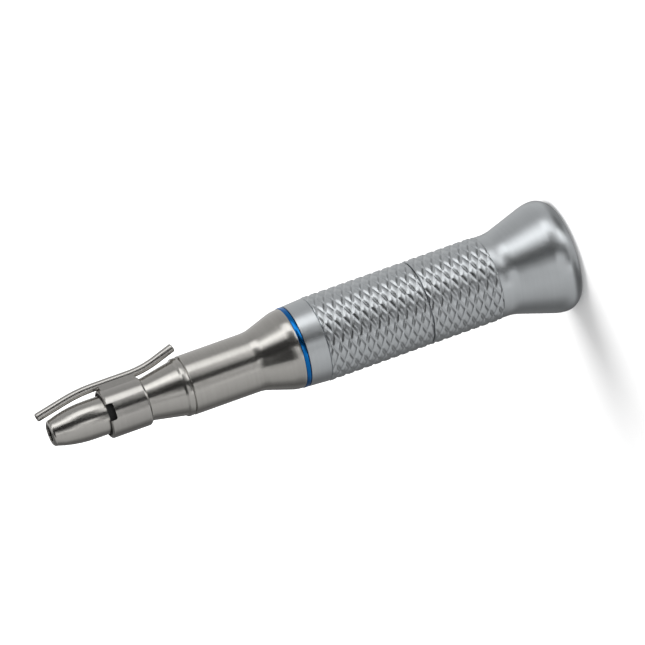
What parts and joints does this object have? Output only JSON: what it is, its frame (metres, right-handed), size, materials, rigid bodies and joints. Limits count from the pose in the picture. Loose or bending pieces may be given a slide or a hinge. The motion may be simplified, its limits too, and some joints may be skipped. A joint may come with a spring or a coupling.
{
  "type": "straight surgical handpiece",
  "caption": "Straight dental handpiece with a knurled twist grip that opens its bur chuck, a bell-shaped motor coupling and a removable spray clip.",
  "frame": {"origin": "centre of the coupling bell's rear face, on the handpiece's axis", "axes": "+Z along the axis from the coupling to the nose, +X towards the spray tube"},
  "size_m": [0.0202, 0.0202, 0.098],
  "materials": {
    "satin_grip": "satin, turned and knurled",
    "turned_steel": "fine turned satin",
    "clip_steel": "brushed, bright edges",
    "colour_ring": "gloss blue",
    "core_steel": "turned",
    "chuck_steel": "ground",
    "cam_steel": "hardened, ground",
    "race_steel": "polished",
    "spring_steel": "dark spring steel",
    "seal_rubber": "matt black"
  },
  "bodies": {
    "handpiece": {"rear_sleeve": "satin_grip", "core_tube": "core_steel", "bearing_carrier": "core_steel", "carrier_circlip": "spring_steel", "preload_washer": "spring_steel", "rear_bearing_outer_race": "race_steel", "colour_ring": "colour_ring", "front_sleeve": "turned_steel", "neck_housing": "turned_steel", "bearing_nut": "chuck_steel", "second_bearing_outer_race": "race_steel", "outer_spacer": "chuck_steel", "front_bearing_outer_race": "race_steel", "nose_seal": "seal_rubber", "nose_cap": "turned_steel", "sleeve_seal": "seal_rubber"},
    "spindle": {"spindle": "chuck_steel", "drive_dog": "chuck_steel", "spindle_nut": "chuck_steel", "inner_spacer": "chuck_steel", "rear_bearing_inner_race": "race_steel", "second_bearing_inner_race": "race_steel", "front_bearing_inner_race": "race_steel", "rear_bearing_balls": "race_steel", "second_bearing_balls": "race_steel", "front_bearing_balls": "race_steel", "spring_seat": "chuck_steel", "disc_springs": "spring_steel"},
    "chuck": {"collet": "chuck_steel", "draw_tube": "chuck_steel", "release_collar": "chuck_steel", "cross_pin": "chuck_steel"},
    "twist_grip": {"twist_sleeve": "satin_grip", "cam_ring": "cam_steel"},
    "pusher": {"pusher_ring": "cam_steel", "pusher_pins": "cam_steel"},
    "clip_ring": {"clip_ring": "seal_rubber"},
    "spray_clip": {"clip_collar": "clip_steel", "spray_tube": "clip_steel"}
  },
  "joints": [
    {"name": "spindle_spin", "type": "hinge", "parent": "handpiece", "child": "spindle", "pos_m": [0, 0, 0], "axis": [0, 0, 1], "continuous": true},
    {"name": "grip_twist", "type": "hinge", "parent": "handpiece", "child": "twist_grip", "pos_m": [0, 0, 0], "axis": [0, 0, 1], "range_deg": [0, 60]},
    {"name": "pusher_slide", "type": "slide", "parent": "handpiece", "child": "pusher", "axis": [0, 0, 1], "range_m": [0, 0.001]},
    {"name": "chuck_slide", "type": "slide", "parent": "spindle", "child": "chuck", "axis": [0, 0, 1], "range_m": [0, 0.001], "deforming": ["disc_springs"]},
    {"name": "clip_swivel", "type": "hinge", "parent": "handpiece", "child": "clip_ring", "pos_m": [0, 0, 0], "axis": [0, 0, 1], "continuous": true},
    {"name": "clip_pull", "type": "slide", "parent": "clip_ring", "child": "spray_clip", "axis": [0, 0, 1], "range_m": [0, 0.02]}
  ],
  "couplings": [
    {"joint": "pusher_slide", "follows": "grip_twist", "m_per_rad": 0.00095493},
    {"joint": "chuck_slide", "follows": "grip_twist", "m_per_rad": 0.00095493}
  ]
}
